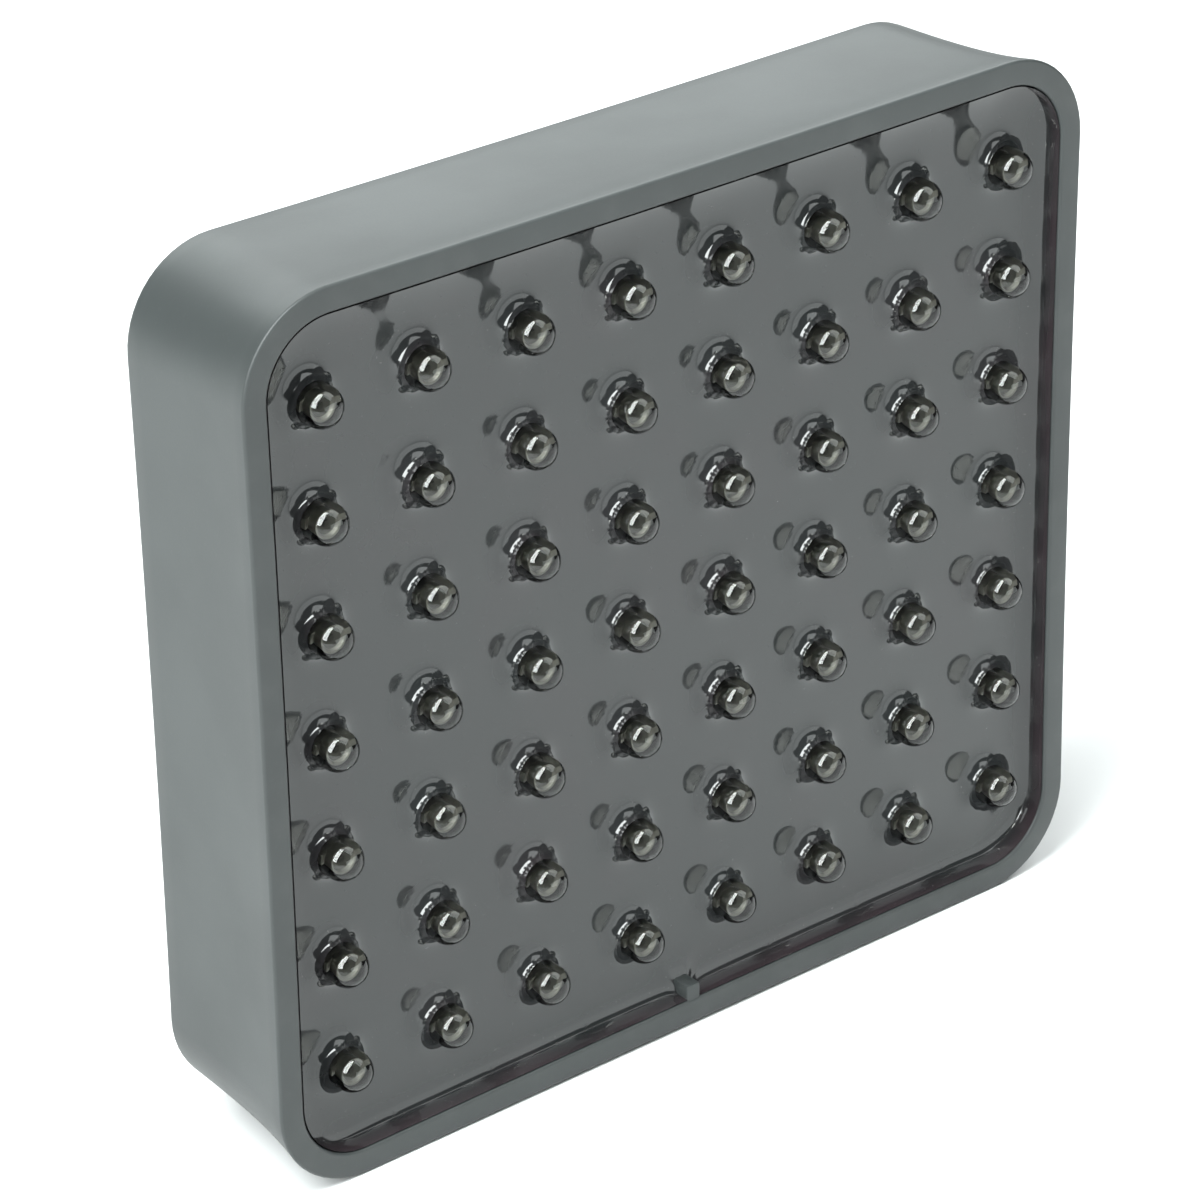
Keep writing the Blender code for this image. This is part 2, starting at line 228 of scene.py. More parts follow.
class Finish:
    """One procedural material with a Principled shader."""

    def __init__(self, name, **constants):
        self.material = bpy.data.materials.new(name)
        self.material.use_nodes = True
        self.tree = self.material.node_tree
        self.shader = self.tree.nodes["Principled BSDF"]
        for socket, value in constants.items():
            self.shader.inputs[socket.replace("_", " ")].default_value = value
        self.place = self.node("ShaderNodeTexCoord", {}, {}, "Object")

    def node(self, kind, settings, inputs, output=0):
        """Adds one node: its settings first, then its sockets' values or links."""
        made = self.tree.nodes.new(kind)
        for key, value in settings.items():
            if key == "stops":
                self.set_stops(made.color_ramp, value)
            else:
                setattr(made, key, value)
        for key, value in inputs.items():
            if isinstance(value, Wire):
                self.tree.links.new(value.socket, made.inputs[key])
            else:
                made.inputs[key].default_value = value
        return Wire(self, made.outputs[output])

    @staticmethod
    def set_stops(ramp, stops):
        for element, (position, level) in zip(ramp.elements, stops):
            element.position = position
            element.color = (level, level, level, 1.0)

    def noise(self, size, detail=3.0, roughness=0.55):
        """Soft noise whose features are about size across."""
        return self.node(
            "ShaderNodeTexNoise", {},
            {"Vector": self.place, "Scale": 1 / size, "Detail": detail,
             "Roughness": roughness}, "Fac")

    def band(self, value, low, high):
        """0 below low, 1 above high, and smooth between them."""
        return self.node(
            "ShaderNodeMapRange", {"interpolation_type": "SMOOTHSTEP"},
            {"Value": value, "From Min": low, "From Max": high}, "Result")

    def axis(self, letter):
        return self.node("ShaderNodeSeparateXYZ", {}, {"Vector": self.place}, letter)

    def blend(self, mask, first, second):
        """A colour between two, by a mask."""
        pair = [c if isinstance(c, Wire) else (*c, 1.0) for c in (first, second)]
        return self.node(
            "ShaderNodeMix", {"data_type": "RGBA"}, {0: mask, 6: pair[0], 7: pair[1]}, 2)

    def bump(self, height, depth, strength=1.0):
        """Relief of depth metres where height runs from 0 to 1."""
        return self.node(
            "ShaderNodeBump", {},
            {"Height": height, "Distance": depth, "Strength": strength}, "Normal")

    def link(self, **wires):
        for socket, wire in wires.items():
            self.tree.links.new(wire.socket, self.shader.inputs[socket.replace("_", " ")])
        return self.material


def plastic_finish(tray):
    """Satin moulded plastic: spark-eroded grain, soft flow marks, a rubbed rim."""
    finish = Finish("grey_moulded_plastic", IOR=1.48)
    flow = finish.band(finish.noise(0.030, 4.0), 0.35, 0.70)
    speck = finish.band(finish.noise(0.0006, 2.0), 0.60, 0.75)
    grain = finish.noise(0.00022, 2.0)
    near_rim = 1 - finish.band(finish.axis("Y"), RIM_Y, RIM_Y + 0.8 * MILLIMETRE)
    rubbed = near_rim * finish.band(finish.noise(0.006, 5.0), 0.45, 0.75)
    base = finish.blend(flow, tray.plastic, tray.plastic_dark)
    flecked = finish.blend(speck * 0.25, base, tray.worn)
    return finish.link(
        Base_Color=finish.blend(rubbed * 0.35, flecked, tray.worn),
        Roughness=0.40 + flow * 0.05 + grain * 0.06 - rubbed * 0.08,
        Normal=finish.bump(grain, 0.00001, 0.35),
    )


def resin_finish(resin):
    """Glossy dark casting resin, reddish where it is thin, with dust in the surface."""
    finish = Finish("dark_potting_resin", IOR=1.58)
    lifted = 1 - finish.band(finish.axis("Y"), RIM_Y, RESIN_Y - 0.2 * MILLIMETRE)
    cloud = finish.band(finish.noise(0.012, 4.0), 0.35, 0.70)
    dust = finish.band(finish.noise(0.00035, 1.0), 0.72, 0.80)
    swell = finish.noise(0.009, 2.0)
    colour_mask = finish.band(lifted * 0.7 + cloud * 0.3, 0.0, 1.0)
    base = finish.blend(colour_mask, resin.body, resin.thin)
    return finish.link(
        Base_Color=finish.blend(dust * 0.15, base, DUST_COLOUR),
        Roughness=0.05 + cloud * 0.03 + dust * 0.10,
        Normal=finish.bump(swell, 0.00004, 0.6),
    )


def epoxy_finish(lamp):
    """Clear cast epoxy with a faint ripple from the mould."""
    finish = Finish("clear_epoxy_lens", IOR=1.50)
    finish.shader.inputs["Transmission Weight"].default_value = 1.0
    haze = finish.noise(0.0015, 2.0)
    tint = [c * 0.94 for c in lamp.epoxy]
    return finish.link(
        Base_Color=finish.blend(finish.band(haze, 0.3, 0.8), lamp.epoxy, tint),
        Roughness=0.015 + haze * 0.03,
        Normal=finish.bump(haze, 0.000006, 0.5),
    )


def silver_finish(lamp):
    """Stamped and silvered lead frame, dulled in the cup by its die and bond."""
    finish = Finish("silvered_lead_frame", Metallic=0.8)
    drawn = finish.noise(0.00025, 3.0)
    dull = finish.band(finish.noise(0.0008, 3.0), 0.40, 0.75)
    dulled = [c * 0.72 for c in lamp.silver]
    return finish.link(
        Base_Color=finish.blend(dull, lamp.silver, dulled),
        Roughness=0.40 + drawn * 0.16,
        Normal=finish.bump(drawn, 0.000008, 0.5),
    )


def die_finish(lamp):
    """A dark chip in the duller gel round it."""
    finish = Finish("chip_and_gel", Specular_IOR_Level=0.2)
    grit = finish.noise(0.00012, 2.0)
    across, up = finish.axis("X"), finish.axis("Z")
    chip_square, gel_square = 0.05e-6, 0.16e-6
    beyond = finish.band(across * across + up * up, chip_square, gel_square)
    darker = [c * 0.8 for c in lamp.gel]
    cloudy = finish.blend(finish.band(grit, 0.35, 0.7), lamp.gel, darker)
    return finish.link(
        Base_Color=finish.blend(beyond, lamp.chip, cloudy),
        Roughness=0.50 + grit * 0.3,
    )


def laminate_finish():
    """Green solder mask over woven glass laminate."""
    finish = Finish("board_laminate", IOR=1.5)
    weave_x, weave_z = (
        finish.node(
            "ShaderNodeTexWave", {"bands_direction": direction},
            {"Vector": finish.place, "Scale": 320.0, "Distortion": 1.5}, "Fac")
        for direction in ("X", "Z"))
    weave = weave_x * 0.5 + weave_z * 0.5
    cloud = finish.noise(0.02, 3.0)
    mask = finish.band(weave * 0.4 + cloud * 0.6, 0.3, 0.7)
    return finish.link(
        Base_Color=finish.blend(mask, *MASK_COLOURS),
        Roughness=0.30 + weave * 0.15,
        Normal=finish.bump(weave, 0.00002, 0.5),
    )


def rubber_finish():
    """Moulded black rubber with a dusty bloom."""
    finish = Finish("black_rubber", IOR=1.52)
    bloom = finish.band(finish.noise(0.002, 5.0), 0.42, 0.78)
    grain = finish.noise(0.0002, 2.0)
    return finish.link(
        Base_Color=finish.blend(bloom * 0.5, *RUBBER_COLOURS),
        Roughness=0.55 + bloom * 0.2 + grain * 0.08,
        Normal=finish.bump(grain, 0.00002, 0.5),
    )


def floor_finish(stage):
    """Matt white paper."""
    finish = Finish("pale_floor", Roughness=0.9)
    fibre = finish.noise(0.05, 4.0)
    dimmed = [c * 0.985 for c in stage.floor]
    return finish.link(Base_Color=finish.blend(fibre, stage.floor, dimmed))


# Meshes

def mesh_from(bm, name):
    bmesh.ops.recalc_face_normals(bm, faces=bm.faces)
    mesh = bpy.data.meshes.new(name)
    bm.to_mesh(mesh)
    bm.free()
    return mesh


def shade(mesh, angle=SMOOTH_ANGLE):
    """Smooth shading, with sharp edges above an angle."""
    mesh.shade_smooth()
    mesh.set_sharp_from_angle(angle=angle)


def piece(name, mesh, material, slot, *nodes):
    """Adds one piece that rides the module and stands for some CAD nodes."""
    obj = bpy.data.objects.new(name, mesh)
    bpy.context.scene.collection.objects.link(obj)
    if not mesh.materials:
        mesh.materials.append(material)
    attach(obj, "root")
    if nodes:
        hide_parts(*nodes)
    return obj


def arc(centre_a, centre_b, radius, start, end, steps):
    """Points along an arc, its angles in degrees."""
    for step in range(steps + 1):
        angle = math.radians(start + (end - start) * step / steps)
        yield centre_a + radius * math.cos(angle), centre_b + radius * math.sin(angle)


def turned(profile, segments, name, centre=(0.0, 0.0)):
    """A closed body turned about Y, from a closed loop of radius and depth points."""
    bm = bmesh.new()
    rings = []
    for radius, y in profile:
        if radius < POINT_RADIUS:
            rings.append([bm.verts.new((centre[0], y, centre[1]))] * segments)
            continue
        ring = []
        for index in range(segments):
            angle = 2 * math.pi * index / segments
            x = centre[0] + radius * math.cos(angle)
            z = centre[1] + radius * math.sin(angle)
            ring.append(bm.verts.new((x, y, z)))
        rings.append(ring)
    for near, far in zip(rings, rings[1:] + rings[:1]):
        for i in range(segments):
            j = (i + 1) % segments
            corners = list(dict.fromkeys((near[i], near[j], far[j], far[i])))
            if len(corners) > 2:
                bm.faces.new(corners)
    return mesh_from(bm, name)


def block(low, high, edge, name):
    """A box with bevelled edges."""
    bm = bmesh.new()
    size = [h - l for l, h in zip(low, high)]
    middle = [(h + l) / 2 for l, h in zip(low, high)]
    place = Matrix.Translation(middle) @ Matrix.Diagonal((*size, 1.0))
    bmesh.ops.create_cube(bm, size=1.0, matrix=place)
    bmesh.ops.bevel(
        bm, geom=bm.edges[:], offset=edge, segments=2, profile=0.5,
        affect="EDGES", clamp_overlap=True)
    return mesh_from(bm, name)


def combined(mesh, changes):
    """The mesh after Boolean changes, each an operation and another mesh."""
    holder = bpy.data.objects.new("holder", mesh)
    bpy.context.scene.collection.objects.link(holder)
    tools = []
    for operation, other in changes:
        tool = bpy.data.objects.new("tool", other)
        bpy.context.scene.collection.objects.link(tool)
        tools.append(tool)
        change = holder.modifiers.new(operation, "BOOLEAN")
        change.operation = operation
        change.object = tool
        change.solver = "EXACT"
    depsgraph = bpy.context.evaluated_depsgraph_get()
    result = bpy.data.meshes.new_from_object(holder.evaluated_get(depsgraph))
    result.name = mesh.name
    for obj in [holder, *tools]:
        bpy.data.objects.remove(obj)
    return result


class Tray:
    """The tray's outlines at any depth behind the rim."""

    ARC_STEPS = 14
    SIDE_STEPS = 14
    EDGE_STEPS = 5
    OUTER_STEPS = 12
    INNER_STEPS = 8
    LEAST_RADIUS = 0.1 * MILLIMETRE
    RIB_EDGE = 0.35 * MILLIMETRE

    def __init__(self, settings):
        self.settings = settings
        self.floor = BACK_Y - settings.wall_back

    def outline(self, inset, offset):
        """Points of the outer shape drawn in by inset, then moved inward by offset."""
        tray = self.settings
        half_x = HALF_X - inset - offset
        half_z = HALF_Z - inset - offset
        radius = max(tray.corner - offset, self.LEAST_RADIUS)
        points = []
        corners = ((1, 1), (-1, 1), (-1, -1), (1, -1))
        for index, (sx, sz) in enumerate(corners):
            start = index * 90
            centre = (sx * (half_x - radius), sz * (half_z - radius))
            points += arc(*centre, radius, start, start + 90, self.ARC_STEPS)
            nx, nz = corners[(index + 1) % 4]
            end = math.radians(start + 90)
            first = points[-1]
            last = (nx * (half_x - radius) + radius * math.cos(end),
                    nz * (half_z - radius) + radius * math.sin(end))
            for step in range(1, self.SIDE_STEPS):
                t = step / self.SIDE_STEPS
                dip = tray.bow * (1 - (2 * t - 1) ** 2)
                points.append((
                    first[0] + (last[0] - first[0]) * t - dip * math.cos(end),
                    first[1] + (last[1] - first[1]) * t - dip * math.sin(end)))
        return points

    def outer_inset(self, depth):
        """Draw-in of the outer side: quick behind the rim, fading towards the back."""
        tray = self.settings
        full = 1 - math.exp((RIM_Y - BACK_Y) / tray.flare_depth)
        return tray.flare * (1 - math.exp(-depth / tray.flare_depth)) / full

    def inner_inset(self, depth):
        """Draw-in of the inner wall towards the tray's floor."""
        return self.settings.inner_draft * depth / (self.floor - RIM_Y)

    def sections(self):
        """Depth, inset and offset from the back's edge, round the rim, to the floor."""
        tray = self.settings
        edge = tray.edge
        depth = BACK_Y - RIM_Y
        side = depth - tray.back_edge
        back_inset = self.outer_inset(depth)
        for offset, level in arc(tray.back_edge, side, tray.back_edge, 90, 180, self.EDGE_STEPS):
            yield level, back_inset, offset
        for step in range(1, self.OUTER_STEPS):
            level = side - (side - edge) * step / self.OUTER_STEPS
            yield level, self.outer_inset(level), 0.0
        for offset, level in arc(edge, edge, edge, 180, 270, self.EDGE_STEPS):
            yield level, self.outer_inset(level), offset
        for offset, level in arc(tray.rim - edge, edge, edge, 270, 360, self.EDGE_STEPS):
            yield level, self.inner_inset(level), offset
        wall = self.floor - RIM_Y
        for step in range(1, self.INNER_STEPS + 1):
            level = edge + (wall - edge) * step / self.INNER_STEPS
            yield level, self.inner_inset(level), tray.rim

    def mesh(self):
        bm = bmesh.new()
        rings = []
        for depth, inset, offset in self.sections():
            ring = [bm.verts.new((x, RIM_Y + depth, CENTRE_Z + z))
                    for x, z in self.outline(inset, offset)]
            rings.append(ring)
        count = len(rings[0])
        for near, far in zip(rings, rings[1:]):
            for i in range(count):
                j = (i + 1) % count
                bm.faces.new((near[i], near[j], far[j], far[i]))
        bm.faces.new(rings[0])
        bm.faces.new(rings[-1])
        return mesh_from(bm, "tray_shell")

    def rib(self):
        """The locating rib in the middle of the bottom wall."""
        tray = self.settings
        wall = CENTRE_Z - HALF_Z + tray.rim
        low = (-tray.rib_width / 2, RIM_Y + tray.rib_setback, wall - tray.rim / 3)
        high = (tray.rib_width / 2, self.floor + MILLIMETRE, wall + tray.bow + tray.rib_reach)
        return block(low, high, self.RIB_EDGE, "rib")

    def grommet_cut(self):
        """Stepped bore for the grommet, open at the back."""
        clearance = 0.1 * MILLIMETRE
        radius = (GROMMET_HIGH.x - GROMMET_LOW.x) / 2 + clearance
        neck = 3.6 * MILLIMETRE
        step_y = BACK_Y - 1.5 * MILLIMETRE
        profile = [
            (0.0, self.floor - MILLIMETRE), (neck, self.floor - MILLIMETRE),
            (neck, step_y), (radius, step_y), (radius, BACK_Y + MILLIMETRE),
            (0.0, BACK_Y + MILLIMETRE)]
        centre = (GROMMET_CENTRE.x, GROMMET_CENTRE.z)
        return turned(profile, GROMMET_SEGMENTS, "grommet_cut", centre)


class Pour:
    """The resin's free surface, laid out as one cell round each lens."""

    # Points along each side of a cell, rings round its lens, how far the rings crowd
    # towards both ends, and steps beside a corner
    SIDE = 23
    RINGS = 14
    CROWD = 0.88
    CORNER_STEPS = 8

    # Shares of the climb and of its reach at the right, left, top and bottom walls
    CLIMBS = (0.50, 0.25, 0.75, 0.40)
    SPREADS = (0.50, 0.60, 1.0, 0.32)
    SIDE_SHARPNESS = 10
    LEAST_REACH = 0.01

    # Seed, amount and features to a metre of the unevenness from lens to lens, round a
    # lens and along the walls
    FROM_LENS_TO_LENS = (0.0, 0.45, 90)
    ROUND_A_LENS = (0.01, 0.12, 200)
    ALONG_THE_WALLS = (0.03, 0.12, 110)

    LENS_REACH = 4.4 * MILLIMETRE
    LENS_CURVE = 0.75
    RIB_CLIMB = 0.9 * MILLIMETRE
    RIB_SPREAD = 1.1 * MILLIMETRE
    HEADROOM = 0.1 * MILLIMETRE
    CLEAR = 0.02 * MILLIMETRE
    WELD = 0.002 * MILLIMETRE

    # Share of the way up to the film's edge, and of the way out to the wall
    FILM_STATIONS = ((0.35, 0.10), (0.70, 0.30), (0.92, 0.50), (1.0, 0.75))
    FILM_LIP = 0.15 * MILLIMETRE

    def __init__(self, tray, resin, lamp):
        self.tray = Tray(tray)
        self.resin = resin
        self.bore = lamp.diameter / 2 - self.CLEAR
        self.flange = lamp.flange / 2 - self.CLEAR
        self.seat_y = TIP_Y + lamp.height
        self.flange_y = self.seat_y - lamp.flange_thick
        inset = self.tray.inner_inset(RESIN_Y - RIM_Y) + tray.rim + resin.film
        self.half = (HALF_X - inset, HALF_Z - inset)
        self.radius = tray.corner - tray.rim - resin.film
        self.bow = tray.bow
        rib_top = CENTRE_Z - HALF_Z + tray.rim + tray.bow + tray.rib_reach
        self.rib = (tray.rib_width / 2, rib_top)

    def wall(self, across, axis):
        """Distance from the middle to the wall beyond a point on the other axis."""
        straight = self.half[1 - axis] - self.radius
        t = min(abs(across) / straight, 1.0)
        return self.half[axis] - self.bow * (1 - t * t)

    def wall_distance(self, x, z):
        """Distance to the nearest wall."""
        vx = abs(x) - (self.wall(z, 0) - self.radius)
        vz = abs(z) - (self.wall(x, 1) - self.radius)
        if vx <= 0 and vz <= 0:
            return self.radius - max(vx, vz)
        return max(self.radius - math.hypot(max(vx, 0.0), max(vz, 0.0)), 0.0)

    def wall_normal(self, x, z):
        """Outward direction of the nearest wall."""
        vx = max(abs(x) - (self.half[0] - self.bow - self.radius), 0.0)
        vz = max(abs(z) - (self.half[1] - self.bow - self.radius), 0.0)
        if abs(x) < self.half[0] - self.radius:
            vx = 0.0
        if abs(z) < self.half[1] - self.radius:
            vz = 0.0
        size = math.hypot(vx, vz)
        return math.copysign(vx / size, x), math.copysign(vz / size, z)

    def by_side(self, x, z, shares):
        """The nearest wall's share, blended round the corners."""
        u, v = x / self.half[0], z / self.half[1]
        pulls = [max(reach, self.LEAST_REACH) ** self.SIDE_SHARPNESS
                 for reach in (u, -u, v, -v)]
        return sum(pull * share for pull, share in zip(pulls, shares)) / sum(pulls)

    def lift(self, x, z, lens):
        """How far the resin stands above its flat level."""
        resin = self.resin
        cx, cz = lens
        beyond = max(math.hypot(x - cx, z - cz) - self.bore, 0.0)
        wobble = uneven(x, z, *self.ROUND_A_LENS)
        fade = max(1 - beyond / self.LENS_REACH, 0.0) ** 2
        creep = math.exp(-(beyond / (resin.lens_spread * wobble)) ** self.LENS_CURVE)
        height = resin.lens_climb * uneven(cx, cz, *self.FROM_LENS_TO_LENS) * creep * fade
        drift = uneven(x, z, *self.ALONG_THE_WALLS)
        distance = self.wall_distance(x, z)
        spread = resin.wall_spread * self.by_side(x, z, self.SPREADS)
        creep = math.exp(-distance / (spread * drift))
        height += resin.wall_climb * self.by_side(x, z, self.CLIMBS) * creep
        width, top = self.rib
        beside = math.hypot(max(abs(x) - width, 0.0), max(z + CENTRE_Z - top, 0.0))
        height += self.RIB_CLIMB * math.exp(-beside / self.RIB_SPREAD)
        limit = RESIN_Y - RIM_Y - resin.film_gap - self.HEADROOM
        return limit * math.tanh(height / limit)

    def corner_path(self, start, end, sx, sz):
        """Points along the wall round one corner, evenly spaced."""
        hx, hz = self.half
        r = self.radius
        path = []
        for step in range(self.CORNER_STEPS + 1):
            x = start + (sx * (hx - r) - start) * step / self.CORNER_STEPS
            path.append((x, sz * self.wall(x, 1)))
        centre = (sx * (hx - r), sz * (hz - r))
        begin = 90 if sz > 0 else 270
        turn = -90 * sx * sz
        path += list(arc(*centre, r, begin, begin + turn, 3 * self.SIDE))[1:]
        for step in range(1, self.CORNER_STEPS + 1):
            z = sz * (hz - r) + (end - sz * (hz - r)) * step / self.CORNER_STEPS
            path.append((sx * self.wall(z, 0), z))
        return respaced(path, 2 * self.SIDE)

    def cell_border(self, column, row):
        """The cell's border, anticlockwise from its lower left corner."""
        xs = self.lines(COLUMNS)
        zs = self.lines([z - CENTRE_Z for z in ROWS])
        x0, x1 = xs[column], xs[column + 1]
        z0, z1 = zs[row], zs[row + 1]
        left, right = column == 0, column == len(COLUMNS) - 1
        bottom, top = row == 0, row == len(ROWS) - 1

        def low_x(z):
            return -self.wall(z, 0) if left else x0

        def high_x(z):
            return self.wall(z, 0) if right else x1

        def low_z(x):
            return -self.wall(x, 1) if bottom else z0

        def high_z(x):
            return self.wall(x, 1) if top else z1

        count = self.SIDE
        sides = {
            "bottom": [(x, low_z(x)) for x in steps(low_x(z0), high_x(z0), count)],
            "right": [(high_x(z), z) for z in steps(low_z(x1), high_z(x1), count)],
            "top": [(x, high_z(x)) for x in steps(high_x(z1), low_x(z1), count)],
            "left": [(low_x(z), z) for z in steps(high_z(x0), low_z(x0), count)],
        }
        if (left or right) and (bottom or top):
            sx = 1 if right else -1
            sz = 1 if top else -1
            path = self.corner_path(x0 if right else x1, z0 if top else z1, sx, sz)
            if sx * sz > 0:
                path.reverse()
            pair = {(1, 1): ("right", "top"), (-1, 1): ("top", "left"),
                    (-1, -1): ("left", "bottom"), (1, -1): ("bottom", "right")}[sx, sz]
            sides[pair[0]] = path[:self.SIDE + 1]
            sides[pair[1]] = path[self.SIDE:]
        border = []
        for side in ("bottom", "right", "top", "left"):
            border += sides[side][:-1]
        return border

    def lines(self, centres):
        """Borders between neighbouring cells, with the outermost as far as their pitch."""
        pitch = centres[1] - centres[0]
        return [c - pitch / 2 for c in centres] + [centres[-1] + pitch / 2]

    def add_cell(self, bm, column, row):
        """The surface round one lens, and the bore and flange pocket that it fills."""
        cx, cz = COLUMNS[column], ROWS[row] - CENTRE_Z
        border = self.cell_border(column, row)
        count = len(border)
        rings = []
        for ring in range(self.RINGS + 1):
            s = ring / self.RINGS
            t = s - self.CROWD * math.sin(2 * math.pi * s) / (2 * math.pi)
            points = []
            for k, (bx, bz) in enumerate(border):
                x, z = on_circle((cx, cz), self.bore, k, count)
                x += (bx - x) * t
                z += (bz - z) * t
                y = RESIN_Y - self.lift(x, z, (cx, cz))
                points.append(bm.verts.new((x, y, z + CENTRE_Z)))
            rings.append(points)
        for radius, y in ((self.bore, self.flange_y), (self.flange, self.flange_y),
                          (self.flange, self.seat_y)):
            points = []
            for k in range(count):
                x, z = on_circle((cx, cz), radius, k, count)
                points.append(bm.verts.new((x, y, z + CENTRE_Z)))
            rings.insert(0, points)
        for near, far in zip(rings, rings[1:]):
            for i in range(count):
                j = (i + 1) % count
                bm.faces.new((near[i], near[j], far[j], far[i]))
        bm.faces.new(rings[0])

    def add_walls(self, bm):
        """Carries the surface up the walls as a film, then down behind it to the back."""
        resin = self.resin
        rim = [edge for edge in bm.edges if edge.is_boundary]
        top = RIM_Y + resin.film_gap
        reach = resin.film - self.CLEAR
        draft = self.tray.inner_inset
        behind = draft(INNER_BACK_Y - RIM_Y) - draft(RESIN_Y - RIM_Y)
        stations = [(rise, top, reach * share) for rise, share in self.FILM_STATIONS]
        stations += [(1.0, top + self.FILM_LIP, reach), (1.0, INNER_BACK_Y, reach - behind)]
        homes = {v: (v.co.copy(), self.wall_normal(v.co.x, v.co.z - CENTRE_Z))
                 for edge in rim for v in edge.verts}
        ring = rim
        for rise, end, outward in stations:
            grown = bmesh.ops.extrude_edge_only(bm, edges=ring)["geom"]
            ring = [g for g in grown if isinstance(g, bmesh.types.BMEdge) and g.is_boundary]
            fresh = [g for g in grown if isinstance(g, bmesh.types.BMVert)]
            following = {}
            for vert in fresh:
                source = next(e.other_vert(vert) for e in vert.link_edges
                              if e.other_vert(vert) in homes)
                home, (nx, nz) = homes[source]
                vert.co = (home.x + nx * outward, home.y + (end - home.y) * rise,
                           home.z + nz * outward)
                following[vert] = (home, (nx, nz))
            homes = following
        bmesh.ops.contextual_create(bm, geom=ring)

    def mesh(self):
        bm = bmesh.new()
        for column in range(len(COLUMNS)):
            for row in range(len(ROWS)):
                self.add_cell(bm, column, row)
        bmesh.ops.remove_doubles(bm, verts=bm.verts, dist=self.WELD)
        self.add_walls(bm)
        return mesh_from(bm, "resin_pour")


def uneven(x, z, seed, amount, rate):
    """A factor that wanders round 1 by up to amount, with rate features to a metre."""
    return 1 + amount * noise.noise(Vector((x, z, seed)) * rate)


def on_circle(centre, radius, index, count):
    """One of count points on a circle, anticlockwise from its lower left."""
    angle = math.radians(-135 + 360 * index / count)
    return centre[0] + radius * math.cos(angle), centre[1] + radius * math.sin(angle)


def steps(start, end, count):
    """The count + 1 ends of equal steps from start to end."""
    return [start + (end - start) * i / count for i in range(count + 1)]


def respaced(path, count):
    """The same path as count equal stretches."""
    lengths = [0.0]
    for (ax, az), (bx, bz) in zip(path, path[1:]):
        lengths.append(lengths[-1] + math.hypot(bx - ax, bz - az))
    points = []
    index = 0
    for target in steps(0.0, lengths[-1], count):
        while index < len(path) - 2 and lengths[index + 1] < target:
            index += 1
        t = (target - lengths[index]) / (lengths[index + 1] - lengths[index])
        (ax, az), (bx, bz) = path[index], path[index + 1]
        points.append((ax + (bx - ax) * t, az + (bz - az) * t))
    return points


def below_lip(lamp, distance):
    """Place along Y of a point some millimetres below the cup's lip."""
    return -(lamp.cup_height - distance * MILLIMETRE)


def lens_mesh(lamp):
    """A round LED's epoxy body about its seat: flange, body and dome, forward along -Y."""
    radius = lamp.diameter / 2
    flange = lamp.flange / 2
    small = 0.12 * MILLIMETRE
    profile = [(0.0, 0.0)]
    profile += [(r, -y) for r, y in arc(flange - small, small, small, -90, 0, 3)]
    profile += [(r, -y) for r, y in arc(
        flange - small, lamp.flange_thick - small, small, 0, 90, 3)]
    profile += [(radius, -lamp.flange_thick)]
    dome_start = lamp.height - radius
    profile += [(r, -y) for r, y in arc(0.0, dome_start, radius, 0, 90, 16)][:-1]
    profile += [(0.0, -lamp.height)]
    mesh = turned(profile, LENS_SEGMENTS, "led_lens")
    shade(mesh)
    return mesh


def lead_frame_mesh(lamp):
    """The stamped frame inside a lens: an anvil with a reflector cup, and a bond post."""
    half = 0.25 * MILLIMETRE
    stamped_edge = 0.08 * MILLIMETRE
    lead_edge = 0.06 * MILLIMETRE
    past_seat = 0.3 * MILLIMETRE
    radius = lamp.cup / 2
    side = lamp.spacing / 2
    foot, waist, shoulder, lip, cup_floor = (
        below_lip(lamp, distance) for distance in (1.5, 0.25, 0.05, 0.0, 0.55))
    anvil_top, anvil_foot = below_lip(lamp, 1.2), below_lip(lamp, 3.4)
    post_top, post_foot = below_lip(lamp, 0.2), below_lip(lamp, 1.9)
    cathode_top, anode_top = below_lip(lamp, 2.2), below_lip(lamp, 1.5)
    cup = turned([
        (0.0, foot), (radius * 0.62, foot), (radius * 0.95, waist), (radius, shoulder),
        (radius * 0.96, lip), (radius * 0.86, lip), (radius * 0.45, cup_floor),
        (0.0, cup_floor)], 32, "reflector_cup")
    anvil = block((-side - half, anvil_top, -half * 2), (half * 3.2, anvil_foot, half * 2),
                  stamped_edge, "anvil")
    cathode = block((-side - half, cathode_top, -half), (-side + half, past_seat, half),
                    lead_edge, "cathode")
    post = block((side - half * 1.7, post_top, -half), (side + half, post_foot, half),
                 stamped_edge, "post")
    anode = block((side - half, anode_top, -half), (side + half, past_seat, half),
                  lead_edge, "anode")
    mesh = combined(anvil, [("UNION", cup), ("UNION", cathode)])
    mesh = combined(mesh, [("UNION", post), ("UNION", anode)])
    mesh.name = "lead_frame"
    shade(mesh)
    return mesh


def die_mesh(lamp):
    """The chip in the gel that fills the cup."""
    radius = lamp.cup / 2
    bottom, level = below_lip(lamp, 0.54), below_lip(lamp, 0.20)
    sag, centre_sag = 0.04 * MILLIMETRE, 0.06 * MILLIMETRE
    gel = turned([
        (0.0, bottom), (radius * 0.42, bottom), (radius * 0.72, level),
        (radius * 0.55, level + sag), (0.0, level + centre_sag)], 24, "gel")
    half = 0.20 * MILLIMETRE
    proud, sunk = 0.06 * MILLIMETRE, 0.20 * MILLIMETRE
    chip = block((-half, level - proud, -half), (half, level + sunk, half),
                 0.02 * MILLIMETRE, "chip")
    mesh = combined(gel, [("UNION", chip)])
    mesh.name = "led_chip"
    shade(mesh)
    return mesh


